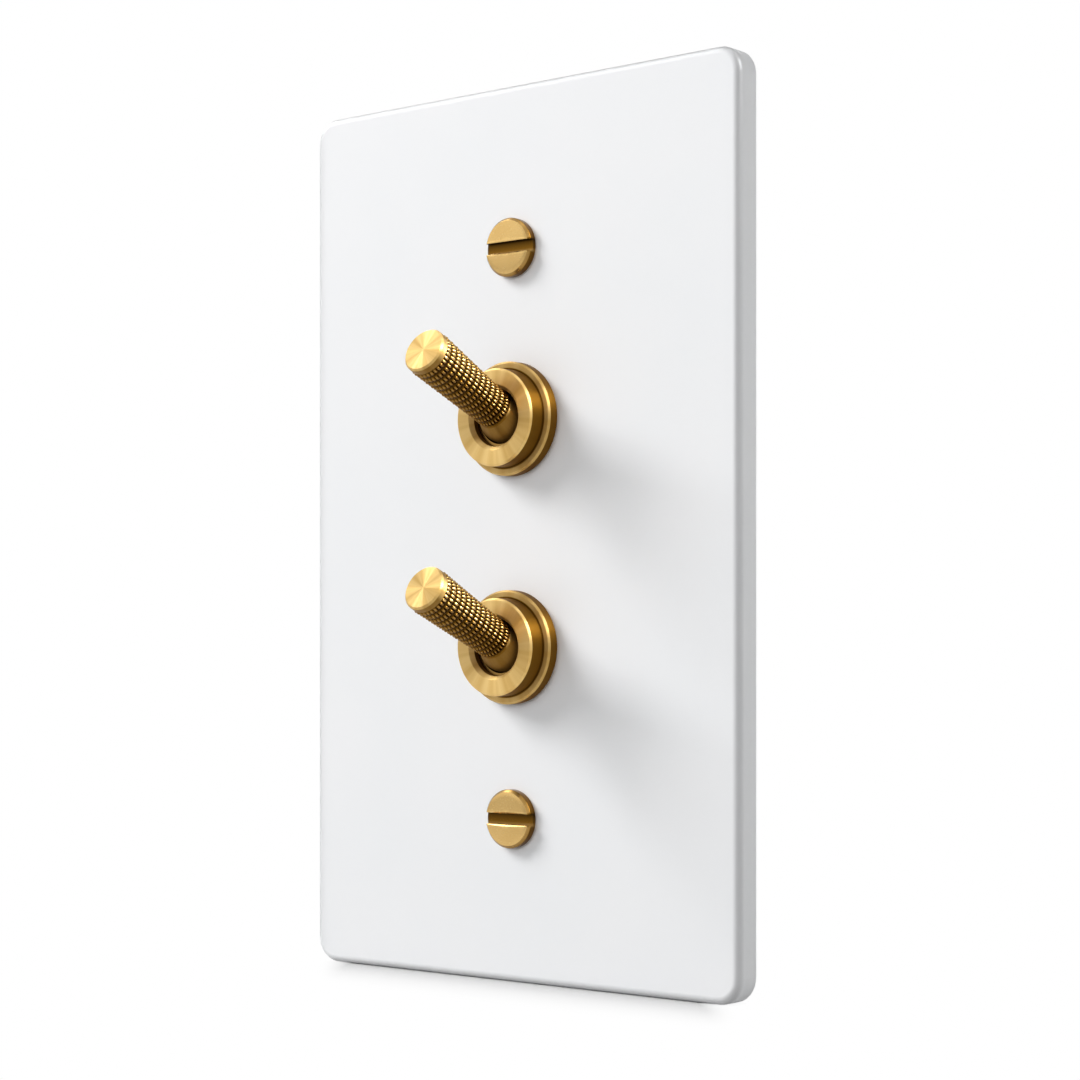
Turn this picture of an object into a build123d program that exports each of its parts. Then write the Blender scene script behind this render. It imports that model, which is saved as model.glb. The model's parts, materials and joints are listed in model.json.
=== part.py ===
from build123d import *
import os
from math import cos, radians, sin, tan

# A light switch with two toggle levers, one above the other on a wall plate
# X runs to the right, Z up, the room lies towards -Y and the wall plane is Y = 0; sizes are millimetres

os.makedirs("parts", exist_ok=True)

# Wall plate
plate_width = 69.85
plate_margin = 15.5  # from the box screw holes to the top and bottom edges
plate_corner = 3.3
plate_edge_round = 1.0
plate_rim = 3.0
plate_face_wall = 1.05  # metal left in front of the mounting nuts
pocket_corner = 1.5
pocket_gap = 0.1

# Mounting strap
strap_thickness = 1.2
strap_width = 34.0
strap_corner = 3.0
strap_ear = 9.35  # from the box screw holes to the strap's ends
ear_notch_radius = 0.9
ear_notch_inset = 5.5
box_hole_radius = 2.3
box_hole_offset = 5.35  # from the plate screws to the box screw holes
box_screw_recess = 4.2

# Plate screws
screw_radius = 1.75
screw_offset = 8.3  # from the end of a switch body to the screw axis
screw_reach = 6.0
screw_head_radius = 3.75
screw_head_height = 1.45
screw_head_bevel = 0.35
screw_slot_width = 1.45
screw_slot_depth = 0.9
screw_hole_gap = 0.15
tapped_gap = 0.03

# Lever
lever_angle = 25.5  # up or down from the plate's normal
lever_length = 16.95
lever_root_radius = 2.4
lever_tip_radius = 2.95
lever_band = 1.0
lever_cap_bevel = 0.45
ball_radius = 3.15
tail_radius = 1.3

# Pivot pin
pin_radius = 0.75
pin_gap = 0.05
pin_cover = 0.05  # from the pin to the bushing's nose
pin_inset = 0.8  # from the thread to the pin's ends

# Bushing
seat_gap = 0.1
tail_gap = 0.1
barrel_wall = 0.58
bushing_flange_step = 1.7
bushing_flange_height = 1.0

# Mounting nut and lock washer
thread_gap = 0.05
hole_gap = 0.15
nut_wall = 1.7
nut_thickness = 1.1
nut_gap = 0.15
nut_recess_gap = 0.4
washer_width = 2.1
washer_thickness = 0.6
washer_teeth = 12
washer_notch_width = 1.2
washer_notch_depth = 0.9

# Collar
collar_wall = 0.78
collar_step = 1.05
collar_flange_height = 1.55
collar_ring_height = 2.32
collar_bevel = 0.25
collar_mouth = 0.5
collar_lip = 0.75
lip_gap = 0.1
lever_gap = 0.215

# Plunger and its spring
stem_radius = 0.75
stem_length = 2.6
stem_gap = 0.05
nose_radius = 1.2
nose_length = 0.8
nose_gap = 0.1
plunger_room = 1.0  # free length between the tail's end and the plunger's head
spring_wire = 0.22
spring_radius = 0.55
spring_turns = 4
spring_gap = 0.05
tail_bore_start = 0.2  # from the ball to the bore's bottom

# Rocker
rocker_depth = 6.33  # from the bushing's flange to the rocker's axis
rocker_tilt = 10.0
rocker_half_width = 4.0
rocker_base = 1.9
rocker_base_half = 4.6
rocker_horn = 1.45
rocker_horn_gap = 0.6
nose_standoff = 3.0  # from the rocker's axis to the plunger's nose at mid throw
trunnion_radius = 1.2
trunnion_gap = 0.05
trunnion_end_gap = 0.8

# Contacts and terminals
blade_thickness = 0.6
blade_half_width = 2.5
blade_overhang = 1.3
contact_arm = 7.4  # from the rocker's axis to a contact dome
dome_radius = 1.2
dome_height = 0.4
contact_gap = 0.1
strip_thickness = 0.8
strip_half_width = 3.15
strip_gap = 0.05
pad_inset = 2.2
leg_offset = 1.6  # from the contact dome to the middle of the leg
edge_bevel = 0.25
lug_length = 8.5
lug_round = 1.2
wire_screw_radius = 1.5
wire_screw_inset = 4.2  # from the lug's end
wire_screw_head_radius = 2.8
wire_screw_head_height = 1.6
wire_screw_reach = 3.2
wire_screw_slot_width = 0.8
wire_screw_slot_depth = 0.7

# Switch body and frame
body_wall = 1.8
body_floor = 2.5
body_corner = 1.0
body_gap = 2.0
blade_room = 3.0
flange_room = 0.7
bearing_room = 1.2
bearing_half_height = 3.0
bearing_rise = 1.9
frame_thickness = 1.0
frame_arm_half = 6.0
frame_tab = 2.6
frame_bend = 1.4

# Places along Y, from the wall plane to the room
nut_front = -strap_thickness - nut_thickness
recess_floor = nut_front - nut_gap
plate_front = recess_floor - plate_face_wall
pocket_floor = -strap_thickness - pocket_gap
collar_shoulder = plate_front - collar_flange_height
collar_front = collar_shoulder - collar_ring_height
lip_front = collar_front + collar_mouth
lip_back = lip_front + collar_lip
nose_face = lip_back + lip_gap
pivot = nose_face + pin_cover + pin_radius

# Places along Y, from the wall plane into the box
frame_front = washer_thickness
frame_back = frame_front + frame_thickness
flange_back = frame_back + bushing_flange_height
rocker_axis = flange_back + rocker_depth

# Radii round a toggle's axis: the tail's swing opens a flare in the bushing, and the thread goes round it
lean = tan(radians(lever_angle))
lean_cos = cos(radians(lever_angle))
lean_sin = sin(radians(lever_angle))
tail_sweep = tail_radius / lean_cos + tail_gap
flare_back_radius = lean * (flange_back - pivot) + tail_sweep
thread_radius = lean * (frame_back - pivot) + tail_sweep + barrel_wall
bushing_flange_radius = thread_radius + bushing_flange_step
seat_radius = ball_radius + seat_gap
thread_bore = thread_radius + thread_gap
bushing_hole = thread_radius + hole_gap
ring_radius = thread_bore + collar_wall
collar_radius = ring_radius + collar_step
lip_bore = lean * (pivot - lip_front) + lever_root_radius / lean_cos + lever_gap
nut_flat_radius = thread_radius + nut_wall
nut_recess = nut_flat_radius / cos(radians(30)) + nut_recess_gap
washer_radius = bushing_hole + washer_width
pin_half = thread_radius - pin_inset

# The plunger's nose swings about the lever's pivot, and its path seen from the tilting rocker is the saddle
swing = rocker_axis - pivot - nose_standoff
tilt_sin = sin(radians(rocker_tilt))
tilt_cos = cos(radians(rocker_tilt))
nose_back = rocker_axis - pivot - swing * lean_cos
nose_side = swing * lean_sin
end_height = nose_back * tilt_cos + nose_side * tilt_sin
end_side = nose_side * tilt_cos - nose_back * tilt_sin
end_rise = end_height - nose_standoff
path_radius = (end_side**2 + end_rise**2) / (2 * end_rise)
saddle_radius = path_radius + nose_radius + nose_gap
saddle_centre = nose_standoff + path_radius
rocker_half = end_side * saddle_radius / path_radius + rocker_horn
rocker_top = (rocker_depth - rocker_horn_gap - rocker_half * tilt_sin) / tilt_cos
tail_length = swing - nose_length - plunger_room
bore_radius = stem_radius + stem_gap
bore_bottom = ball_radius + tail_bore_start
stem_end = swing - nose_length - stem_length
coil_start = bore_bottom + spring_wire / 2 + spring_gap
coil_height = stem_end - bore_bottom - spring_wire - 2 * spring_gap

# Contact stack behind the rocker
blade_half = contact_arm + blade_overhang
blade_back = rocker_base + blade_thickness
dome_sphere = (dome_radius**2 + dome_height**2) / (2 * dome_height)
dome_centre = blade_back + dome_height - dome_sphere
dome_reach = dome_centre * tilt_cos + contact_arm * tilt_sin + dome_sphere
pad_front = rocker_axis + dome_reach + contact_gap
floor_front = pad_front + strip_thickness
floor_back = floor_front + body_floor
edge_front = rocker_axis + blade_back / tilt_cos + strip_thickness / 2 * tilt_sin / tilt_cos + contact_gap
lug_end = floor_back + lug_length
wire_screw_place = lug_end - wire_screw_inset
leg_place = contact_arm + leg_offset

# Switch body, then the places up and down the plate that follow from it
cavity_half_width = bushing_flange_radius + flange_room
cavity_half = blade_half + blade_room
body_half_width = cavity_half_width + body_wall
body_half = cavity_half + body_wall
bearing_inner = rocker_half_width + bearing_room
trunnion_half = cavity_half_width - trunnion_end_gap
toggle_place = body_half + body_gap / 2
screw_place = toggle_place + body_half + screw_offset
box_hole_place = screw_place + box_hole_offset
strap_half = box_hole_place + strap_ear
plate_half = box_hole_place + plate_margin

toggles = {"upper": toggle_place, "lower": -toggle_place}
screw_places = [(0, screw_place), (0, -screw_place)]
box_hole_places = [(0, box_hole_place), (0, -box_hole_place)]
toggle_places = [(0, height) for height in toggles.values()]


def back_plane(depth):
    # A plane across the switch at this Y, drawn in X and Z; a positive extrusion goes towards the room
    return Plane.XZ.offset(-depth)


# Face plate: a thick plate with a rounded front edge, hollowed behind for the strap, nuts and box screws
with BuildPart() as face_plate:
    with BuildSketch(back_plane(0)):
        RectangleRounded(plate_width, 2 * plate_half, plate_corner)
    extrude(amount=-plate_front)
    fillet(face_plate.faces().sort_by(Axis.Y)[0].edges(), plate_edge_round)
    with BuildSketch(back_plane(0)):
        RectangleRounded(plate_width - 2 * plate_rim, 2 * (plate_half - plate_rim), pocket_corner)
    extrude(amount=-pocket_floor, mode=Mode.SUBTRACT)
    with BuildSketch(back_plane(pocket_floor)):
        with Locations(*toggle_places):
            Circle(nut_recess)
        with Locations(*box_hole_places):
            Circle(box_screw_recess)
    extrude(amount=pocket_floor - recess_floor, mode=Mode.SUBTRACT)
    with BuildSketch(back_plane(0)):
        with Locations(*toggle_places):
            Circle(bushing_hole)
        with Locations(*screw_places):
            Circle(screw_radius + screw_hole_gap)
    extrude(amount=-plate_front, mode=Mode.SUBTRACT)
face_plate.part.label = "face_plate"
export_step(face_plate.part, "parts/face_plate.step")

# Mounting strap: flat steel with break-off notches at its ears
with BuildPart() as mounting_strap:
    with BuildSketch(back_plane(0)):
        RectangleRounded(strap_width, 2 * strap_half, strap_corner)
        with GridLocations(strap_width, 2 * (strap_half - ear_notch_inset), 2, 2):
            Circle(ear_notch_radius, mode=Mode.SUBTRACT)
        with Locations(*toggle_places):
            Circle(bushing_hole, mode=Mode.SUBTRACT)
        with Locations(*screw_places):
            Circle(screw_radius + tapped_gap, mode=Mode.SUBTRACT)
        with Locations(*box_hole_places):
            Circle(box_hole_radius, mode=Mode.SUBTRACT)
    extrude(amount=strap_thickness)
mounting_strap.part.label = "mounting_strap"
export_step(mounting_strap.part, "parts/mounting_strap.step")

# Plate screws: bevelled cheese heads with a slot straight across
with BuildPart() as plate_screws:
    with BuildSketch(back_plane(plate_front)):
        with Locations(*screw_places):
            Circle(screw_head_radius)
    extrude(amount=screw_head_height)
    chamfer(plate_screws.faces().filter_by(GeomType.PLANE).group_by(Axis.Y)[0].edges(), screw_head_bevel)
    with BuildSketch(back_plane(plate_front)):
        with Locations(*screw_places):
            Circle(screw_radius)
    extrude(amount=plate_front - screw_reach)
    with BuildSketch(back_plane(plate_front - screw_head_height)):
        with Locations(*screw_places):
            Rectangle(2 * screw_head_radius, screw_slot_width)
    extrude(amount=-screw_slot_depth, mode=Mode.SUBTRACT)
plate_screws.part.label = "plate_screws"
export_step(plate_screws.part, "parts/plate_screws.step")

for side, height in toggles.items():
    # Planes of one toggle: across its axis, along the raised lever, and along the tilted rocker
    toggle_plane = Plane((0, 0, height), x_dir=(0, 1, 0), z_dir=(1, 0, 0))
    toggle_line = Axis((0, 0, height), (0, 1, 0))
    pivot_plane = Plane((0, pivot, height), x_dir=(0, 1, 0), z_dir=(1, 0, 0))
    lever_plane = Plane((0, pivot, height), x_dir=(0, -lean_cos, lean_sin), z_dir=(1, 0, 0))
    lever_line = Axis(lever_plane.origin, lever_plane.x_dir)
    rocker_plane = Plane((0, rocker_axis, height), x_dir=(0, -tilt_sin, tilt_cos), z_dir=(1, 0, 0))

    # Collar: a cap nut with a flange, a stepped ring and a chamfered mouth
    with BuildPart() as collar:
        with BuildSketch(toggle_plane):
            with BuildLine():
                Polyline(
                    (plate_front, thread_bore),
                    (plate_front, collar_radius),
                    (collar_shoulder + collar_bevel, collar_radius),
                    (collar_shoulder, collar_radius - collar_bevel),
                    (collar_shoulder, ring_radius),
                    (collar_front + collar_bevel, ring_radius),
                    (collar_front, ring_radius - collar_bevel),
                    (collar_front, lip_bore + collar_mouth),
                    (lip_front, lip_bore),
                    (lip_back, lip_bore),
                    (lip_back, thread_bore),
                    close=True,
                )
            make_face()
        revolve(axis=toggle_line)
    collar.part.label = f"{side}_collar"
    export_step(collar.part, f"parts/{side}_collar.step")

    # Mounting nut: a thin hexagon in front of the strap
    with BuildPart() as mounting_nut:
        with BuildSketch(back_plane(-strap_thickness)):
            with Locations((0, height)):
                RegularPolygon(nut_flat_radius, 6, major_radius=False)
                Circle(thread_bore, mode=Mode.SUBTRACT)
        extrude(amount=nut_thickness)
    mounting_nut.part.label = f"{side}_mounting_nut"
    export_step(mounting_nut.part, f"parts/{side}_mounting_nut.step")

    # Bushing: a flanged barrel with a round seat for the ball, a flare for the tail and slots for the pin
    with BuildPart() as bushing:
        with BuildSketch(toggle_plane):
            with BuildLine():
                Polyline(
                    (nose_face, 0),
                    (nose_face, thread_radius),
                    (frame_back, thread_radius),
                    (frame_back, bushing_flange_radius),
                    (flange_back, bushing_flange_radius),
                    (flange_back, 0),
                    close=True,
                )
            make_face()
        revolve(axis=toggle_line)
        with Locations((0, pivot, height)):
            Sphere(seat_radius, mode=Mode.SUBTRACT)
        with BuildSketch(toggle_plane):
            with BuildLine():
                Polyline(
                    (nose_face, 0),
                    (nose_face, seat_radius),
                    (pivot, seat_radius),
                    (pivot, tail_sweep),
                    (flange_back, flare_back_radius),
                    (flange_back, 0),
                    close=True,
                )
            make_face()
        revolve(axis=toggle_line, mode=Mode.SUBTRACT)
        with BuildSketch(pivot_plane):
            Circle(pin_radius + pin_gap)
            with Locations((nose_face - pivot, 0)):
                Rectangle(pivot - nose_face, 2 * (pin_radius + pin_gap), align=(Align.MIN, Align.CENTER))
        extrude(amount=pin_half + pin_gap, both=True, mode=Mode.SUBTRACT)
    bushing.part.label = f"{side}_bushing"
    export_step(bushing.part, f"parts/{side}_bushing.step")

    # Pivot pin: across the bushing, under the collar's lip
    with BuildPart() as pivot_pin:
        with BuildSketch(pivot_plane):
            Circle(pin_radius)
        extrude(amount=pin_half, both=True)
    pivot_pin.part.label = f"{side}_pivot_pin"
    export_step(pivot_pin.part, f"parts/{side}_pivot_pin.step")

    # Lever: a tapered grip with a bevelled cap, the ball that it turns on, and a hollow tail
    with BuildPart() as lever:
        with BuildSketch(lever_plane):
            with BuildLine():
                Polyline(
                    (-tail_length, 0),
                    (-tail_length, tail_radius),
                    (0, tail_radius),
                    (0, lever_root_radius),
                    (lever_length - lever_band, lever_tip_radius),
                    (lever_length - lever_cap_bevel, lever_tip_radius),
                    (lever_length, lever_tip_radius - lever_cap_bevel),
                    (lever_length, 0),
                    close=True,
                )
            make_face()
        revolve(axis=lever_line)
        with Locations(lever_plane):
            Sphere(ball_radius)
        with BuildSketch(lever_plane):
            with Locations((-tail_length, 0)):
                Rectangle(tail_length - bore_bottom, bore_radius, align=(Align.MIN, Align.MIN))
        revolve(axis=lever_line, mode=Mode.SUBTRACT)
        with BuildSketch(lever_plane):
            Circle(pin_radius + pin_gap)
        extrude(amount=ball_radius, both=True, mode=Mode.SUBTRACT)
    lever.part.label = f"{side}_lever"
    export_step(lever.part, f"parts/{side}_lever.step")

    # Plunger: a stem in the tail's bore and a round nose that rides in the rocker's saddle
    with BuildPart() as plunger:
        with BuildSketch(lever_plane):
            with BuildLine():
                Polyline(
                    (-swing - nose_radius, 0),
                    (-stem_end, 0),
                    (-stem_end, stem_radius),
                    (-stem_end - stem_length, stem_radius),
                    (-stem_end - stem_length, nose_radius),
                    (-swing, nose_radius),
                )
                CenterArc((-swing, 0), nose_radius, 90, 90)
            make_face()
        revolve(axis=lever_line)
    plunger.part.label = f"{side}_plunger"
    export_step(plunger.part, f"parts/{side}_plunger.step")

    # Plunger spring: a coil of square wire between the bore's bottom and the plunger's stem
    with BuildPart() as plunger_spring:
        with BuildLine():
            coil = Helix(
                coil_height / spring_turns,
                coil_height,
                spring_radius,
                center=lever_plane.from_local_coords((-coil_start, 0, 0)),
                direction=-lever_plane.x_dir,
            )
        with BuildSketch(Plane(coil @ 0, z_dir=coil % 0)):
            Rectangle(spring_wire, spring_wire)
        sweep(is_frenet=True)
    plunger_spring.part.label = f"{side}_plunger_spring"
    export_step(plunger_spring.part, f"parts/{side}_plunger_spring.step")

    # Lock washer: a ring with teeth towards the thread
    with BuildPart() as lock_washer:
        with BuildSketch(back_plane(washer_thickness)):
            with Locations((0, height)):
                Circle(washer_radius)
                Circle(bushing_hole, mode=Mode.SUBTRACT)
                with PolarLocations(bushing_hole, washer_teeth):
                    Rectangle(2 * washer_notch_depth, washer_notch_width, mode=Mode.SUBTRACT)
        extrude(amount=washer_thickness)
    lock_washer.part.label = f"{side}_lock_washer"
    export_step(lock_washer.part, f"parts/{side}_lock_washer.step")

    # Frame: a stamped plate whose two arms bend back along the body and hook under its floor
    frame_half_width = body_half_width + frame_thickness
    tab_back = floor_back + frame_thickness
    with BuildPart() as frame:
        with BuildSketch(Plane.XY.offset(height)):
            with Locations((0, frame_front)):
                Rectangle(2 * frame_half_width, tab_back - frame_front, align=(Align.CENTER, Align.MIN))
            with Locations((0, frame_back)):
                Rectangle(
                    2 * body_half_width,
                    floor_back - frame_back,
                    align=(Align.CENTER, Align.MIN),
                    mode=Mode.SUBTRACT,
                )
            with Locations((0, floor_back)):
                Rectangle(
                    2 * (frame_half_width - frame_tab),
                    frame_thickness,
                    align=(Align.CENTER, Align.MIN),
                    mode=Mode.SUBTRACT,
                )
        extrude(amount=frame_arm_half, both=True)
        with BuildSketch(back_plane(frame_back)):
            with Locations((0, height)):
                RectangleRounded(2 * frame_half_width, 2 * body_half, body_corner)
        extrude(amount=frame_thickness)
        bends = frame.edges().filter_by(Axis.Z).group_by(Axis.Y)[-1].sort_by(Axis.X)
        fillet([bends[0], bends[-1]], frame_bend)
        with BuildSketch(back_plane(frame_back)):
            with Locations((0, height)):
                Circle(bushing_hole)
        extrude(amount=frame_thickness, mode=Mode.SUBTRACT)
    frame.part.label = f"{side}_frame"
    export_step(frame.part, f"parts/{side}_frame.step")

    # Switch body: a box open to the front, with a notched bearing on each side and slots for the terminals
    with BuildPart() as switch_body:
        with BuildSketch(back_plane(frame_back)):
            with Locations((0, height)):
                RectangleRounded(2 * body_half_width, 2 * body_half, body_corner)
        extrude(amount=frame_back - floor_back)
        with BuildSketch(back_plane(frame_back)):
            with Locations((0, height)):
                Rectangle(2 * cavity_half_width, 2 * cavity_half)
        extrude(amount=frame_back - floor_front, mode=Mode.SUBTRACT)
        with BuildSketch(back_plane(floor_front)):
            with Locations((0, height)):
                Rectangle(2 * cavity_half_width, 2 * bearing_half_height)
                Rectangle(2 * bearing_inner, 2 * bearing_half_height, mode=Mode.SUBTRACT)
        extrude(amount=floor_front - rocker_axis + bearing_rise)
        with BuildSketch(toggle_plane):
            with Locations((rocker_axis, 0)):
                Circle(trunnion_radius + trunnion_gap)
                Rectangle(
                    bearing_rise,
                    2 * (trunnion_radius + trunnion_gap),
                    align=(Align.MAX, Align.CENTER),
                )
        extrude(amount=cavity_half_width, both=True, mode=Mode.SUBTRACT)
        with BuildSketch(back_plane(floor_back)):
            with Locations((0, height), (0, height + leg_place), (0, height - leg_place)):
                Rectangle(2 * (strip_half_width + strip_gap), strip_thickness + 2 * strip_gap)
        extrude(amount=body_floor, mode=Mode.SUBTRACT)
    switch_body.part.label = f"{side}_switch_body"
    export_step(switch_body.part, f"parts/{side}_switch_body.step")

    # Rocker: a saddle that follows the plunger's nose, on two trunnions
    with BuildPart() as rocker:
        with BuildSketch(rocker_plane):
            with BuildLine():
                Polyline(
                    (-rocker_half, rocker_top),
                    (rocker_half, rocker_top),
                    (rocker_base_half, -rocker_base),
                    (-rocker_base_half, -rocker_base),
                    close=True,
                )
            make_face()
            with Locations((0, saddle_centre)):
                Circle(saddle_radius, mode=Mode.SUBTRACT)
        extrude(amount=rocker_half_width, both=True)
        with BuildSketch(rocker_plane):
            Circle(trunnion_radius)
        extrude(amount=trunnion_half, both=True)
    rocker.part.label = f"{side}_rocker"
    export_step(rocker.part, f"parts/{side}_rocker.step")

    # Contact blade: a flat copper strip under the rocker with a dome near each end
    with BuildPart() as contact_blade:
        with BuildSketch(rocker_plane):
            with Locations((0, -rocker_base)):
                Rectangle(2 * blade_half, blade_thickness, align=(Align.CENTER, Align.MAX))
        extrude(amount=blade_half_width, both=True)
        for arm in (contact_arm, -contact_arm):
            with BuildSketch(rocker_plane):
                with Locations((arm, -dome_centre)):
                    Circle(dome_sphere)
                    Rectangle(
                        dome_sphere,
                        2 * dome_sphere,
                        align=(Align.MIN, Align.CENTER),
                        mode=Mode.INTERSECT,
                    )
                with Locations((arm, -blade_back)):
                    Rectangle(dome_sphere, dome_sphere, align=(Align.MIN, Align.MAX), mode=Mode.INTERSECT)
            revolve(axis=Axis(rocker_plane.from_local_coords((arm, 0, 0)), rocker_plane.y_dir))
    contact_blade.part.label = f"{side}_contact_blade"
    export_step(contact_blade.part, f"parts/{side}_contact_blade.step")

    # Common terminal: an upright strip whose bevelled edge the blade rocks on
    with BuildPart() as common_terminal:
        with BuildSketch(toggle_plane):
            with Locations((edge_front, 0)):
                Rectangle(lug_end - edge_front, strip_thickness, align=(Align.MIN, Align.CENTER))
        extrude(amount=strip_half_width, both=True)
        chamfer(common_terminal.edges().filter_by(Axis.X).group_by(Axis.Y)[0], edge_bevel)
        fillet(common_terminal.edges().filter_by(Axis.Z).group_by(Axis.Y)[-1], lug_round)
        with BuildSketch(Plane.XY.offset(height)):
            with Locations((0, wire_screw_place)):
                Circle(wire_screw_radius + tapped_gap)
        extrude(amount=strip_thickness, both=True, mode=Mode.SUBTRACT)
    common_terminal.part.label = f"{side}_common_terminal"
    export_step(common_terminal.part, f"parts/{side}_common_terminal.step")

    # End terminals: a contact pad on the body's floor and a leg through it to a wiring lug
    for place, turn in (("upper", 1), ("lower", -1)):
        leg_height = height + turn * leg_place
        with BuildPart() as end_terminal:
            with BuildSketch(toggle_plane):
                with Locations((pad_front, turn * leg_place)):
                    Rectangle(lug_end - pad_front, strip_thickness, align=(Align.MIN, Align.CENTER))
                    Rectangle(
                        strip_thickness,
                        leg_place - contact_arm + pad_inset,
                        align=(Align.MIN, Align.MAX if turn > 0 else Align.MIN),
                    )
            extrude(amount=strip_half_width, both=True)
            fillet(end_terminal.edges().filter_by(Axis.Z).group_by(Axis.Y)[-1], lug_round)
            with BuildSketch(Plane.XY.offset(leg_height)):
                with Locations((0, wire_screw_place)):
                    Circle(wire_screw_radius + tapped_gap)
            extrude(amount=strip_thickness, both=True, mode=Mode.SUBTRACT)
        end_terminal.part.label = f"{side}_{place}_terminal"
        export_step(end_terminal.part, f"parts/{side}_{place}_terminal.step")

    # Terminal screws: one slotted screw through each lug
    with BuildPart() as terminal_screws:
        for lug in (leg_place, 0, -leg_place):
            head_seat = height + lug + strip_thickness / 2
            with BuildSketch(Plane.XY.offset(head_seat)):
                with Locations((0, wire_screw_place)):
                    Circle(wire_screw_head_radius)
            extrude(amount=wire_screw_head_height)
            with BuildSketch(Plane.XY.offset(head_seat)):
                with Locations((0, wire_screw_place)):
                    Circle(wire_screw_radius)
            extrude(amount=-strip_thickness - wire_screw_reach)
            with BuildSketch(Plane.XY.offset(head_seat + wire_screw_head_height)):
                with Locations((0, wire_screw_place)):
                    Rectangle(2 * wire_screw_head_radius, wire_screw_slot_width)
            extrude(amount=-wire_screw_slot_depth, mode=Mode.SUBTRACT)
    terminal_screws.part.label = f"{side}_terminal_screws"
    export_step(terminal_screws.part, f"parts/{side}_terminal_screws.step")
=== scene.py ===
import json
from math import cos, pi, radians, sin, tan

import bmesh
import bpy
from mathutils import Matrix, Vector


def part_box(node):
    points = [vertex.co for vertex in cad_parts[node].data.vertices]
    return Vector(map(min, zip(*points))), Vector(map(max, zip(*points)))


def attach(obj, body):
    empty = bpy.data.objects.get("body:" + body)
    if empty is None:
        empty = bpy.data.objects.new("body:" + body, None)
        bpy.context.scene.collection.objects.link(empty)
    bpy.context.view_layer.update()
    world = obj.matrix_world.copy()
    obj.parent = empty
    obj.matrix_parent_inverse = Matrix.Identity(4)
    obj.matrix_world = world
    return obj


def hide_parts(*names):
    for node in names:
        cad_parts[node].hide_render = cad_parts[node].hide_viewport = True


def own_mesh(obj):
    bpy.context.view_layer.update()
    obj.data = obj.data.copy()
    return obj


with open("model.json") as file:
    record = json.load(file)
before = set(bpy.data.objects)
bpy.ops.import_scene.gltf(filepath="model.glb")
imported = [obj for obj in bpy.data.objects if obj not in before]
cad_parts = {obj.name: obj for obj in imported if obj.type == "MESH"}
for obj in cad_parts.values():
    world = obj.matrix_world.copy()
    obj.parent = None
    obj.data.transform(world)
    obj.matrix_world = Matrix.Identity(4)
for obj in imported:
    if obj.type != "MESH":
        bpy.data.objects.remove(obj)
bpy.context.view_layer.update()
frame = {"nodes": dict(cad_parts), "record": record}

# A light switch with two toggle levers. Sizes below are millimetres in the frame of the CAD model:
# X to the right, Z up the plate, the room towards -Y and the wall plane at Y = 0.
# A turned piece is drawn along its own axis, which runs out into the room.
MM = 0.001
SIDES = ("upper", "lower")


# Sizes read from the CAD nodes, so that each piece sits where its node is
def node_box(node):
    low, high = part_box(node)
    return low / MM, high / MM


toggle_heights = {}
for side in SIDES:
    collar_low, collar_high = node_box(f"{side}_collar")
    toggle_heights[side] = (collar_low.z + collar_high.z) / 2
plate_low, plate_high = node_box("face_plate")
plate_front = -plate_low.y
collar_front = -collar_low.y
collar_radius = (collar_high.x - collar_low.x) / 2
bushing_low, bushing_high = node_box("upper_bushing")
bushing_nose = -bushing_low.y
bushing_back = -bushing_high.y
bushing_flange_radius = (bushing_high.x - bushing_low.x) / 2
screws_low, screws_high = node_box("plate_screws")
screw_head_radius = (screws_high.x - screws_low.x) / 2
screw_head_height = -screws_low.y - plate_front
screw_length = plate_front + screws_high.y
screw_place = screws_high.z - screw_head_radius
lug_screws_low, lug_screws_high = node_box("upper_terminal_screws")
lug_screw_head_radius = (lug_screws_high.y - lug_screws_low.y) / 2
lug_screw_place = (lug_screws_high.y + lug_screws_low.y) / 2

# Edges: rounds on turned corners, then the broken edges of pressed and moulded pieces and what counts as one
inner_round = 0.05
crisp_round = 0.06
foot_round = 0.08
soft_round = 0.1
rim_round = 0.12
terminal_edge = 0.1
stamped_edge = 0.15
moulded_edge = 0.35
edge_angle = radians(35)
flat_angle = radians(0.5)

# Small distances: points that are one, where a sleeve joins its piece, and a hair's breadth
same_point = 0.001
sleeve_joint = 0.002
hair = 0.01

# Collar: a flange with a stepped ring on it, and painted shade that spreads out of the corner between them
collar_shoulder = 5.05
collar_ring_radius = 6.203
collar_thread_bore = 5.423
collar_bevel = 0.25
collar_mouth = 0.5
collar_lip = 0.75
collar_lip_bore = 3.66
collar_corner_shade_reach = 0.28
collar_corner_shade_core = 0.08
collar_facets = 256

# Bushing: thread outside, a round seat for the lever's ball inside and a flare behind it
bushing_thread_radius = 5.373
bushing_flange_height = 1.0
bushing_thread_relief = 0.3
bushing_nose_bevel = 0.35
bushing_seat_radius = 3.25
bushing_seat_sweep = 39.2
bushing_seat_steps = 8
bushing_flare_start = 1.54
bushing_flare_end = 5.27
bushing_thread_rows = 11
bushing_facets = 128
pin_slot_half = 0.8
pin_slot_reach = 4.623
pin_slot_mouth = 2.0
pin_slot_steps = 12

# Lever, measured along its own axis from the pivot
lever_angle = radians(25.5)
lever_pivot = 5.22
lever_length = 16.95
lever_root_radius = 2.4
lever_tip_radius = 2.95
lever_band = 1.0
lever_cap_bevel = 0.24
lever_cap_rings = (1.6, 0.8, 0.3, 0.1, 0.0)
lever_ball_radius = 3.15
lever_ball_steps = 25
lever_ball_first = 155
lever_ball_turn = 4.6
lever_tail_radius = 1.3
lever_tail_length = 9.35
lever_bore_radius = 0.8
lever_bore_bottom = 3.35
lever_pin_hole = 0.8
pin_hole_steps = 32
pin_hole_overshoot = 0.2
grip_start = 2.1
grip_undercut = 0.05
grip_rows = 13
grip_around = 33
grip_depth = 0.3
grip_sink = 0.16
steps_per_pad = 8
steps_per_row = 10

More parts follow.
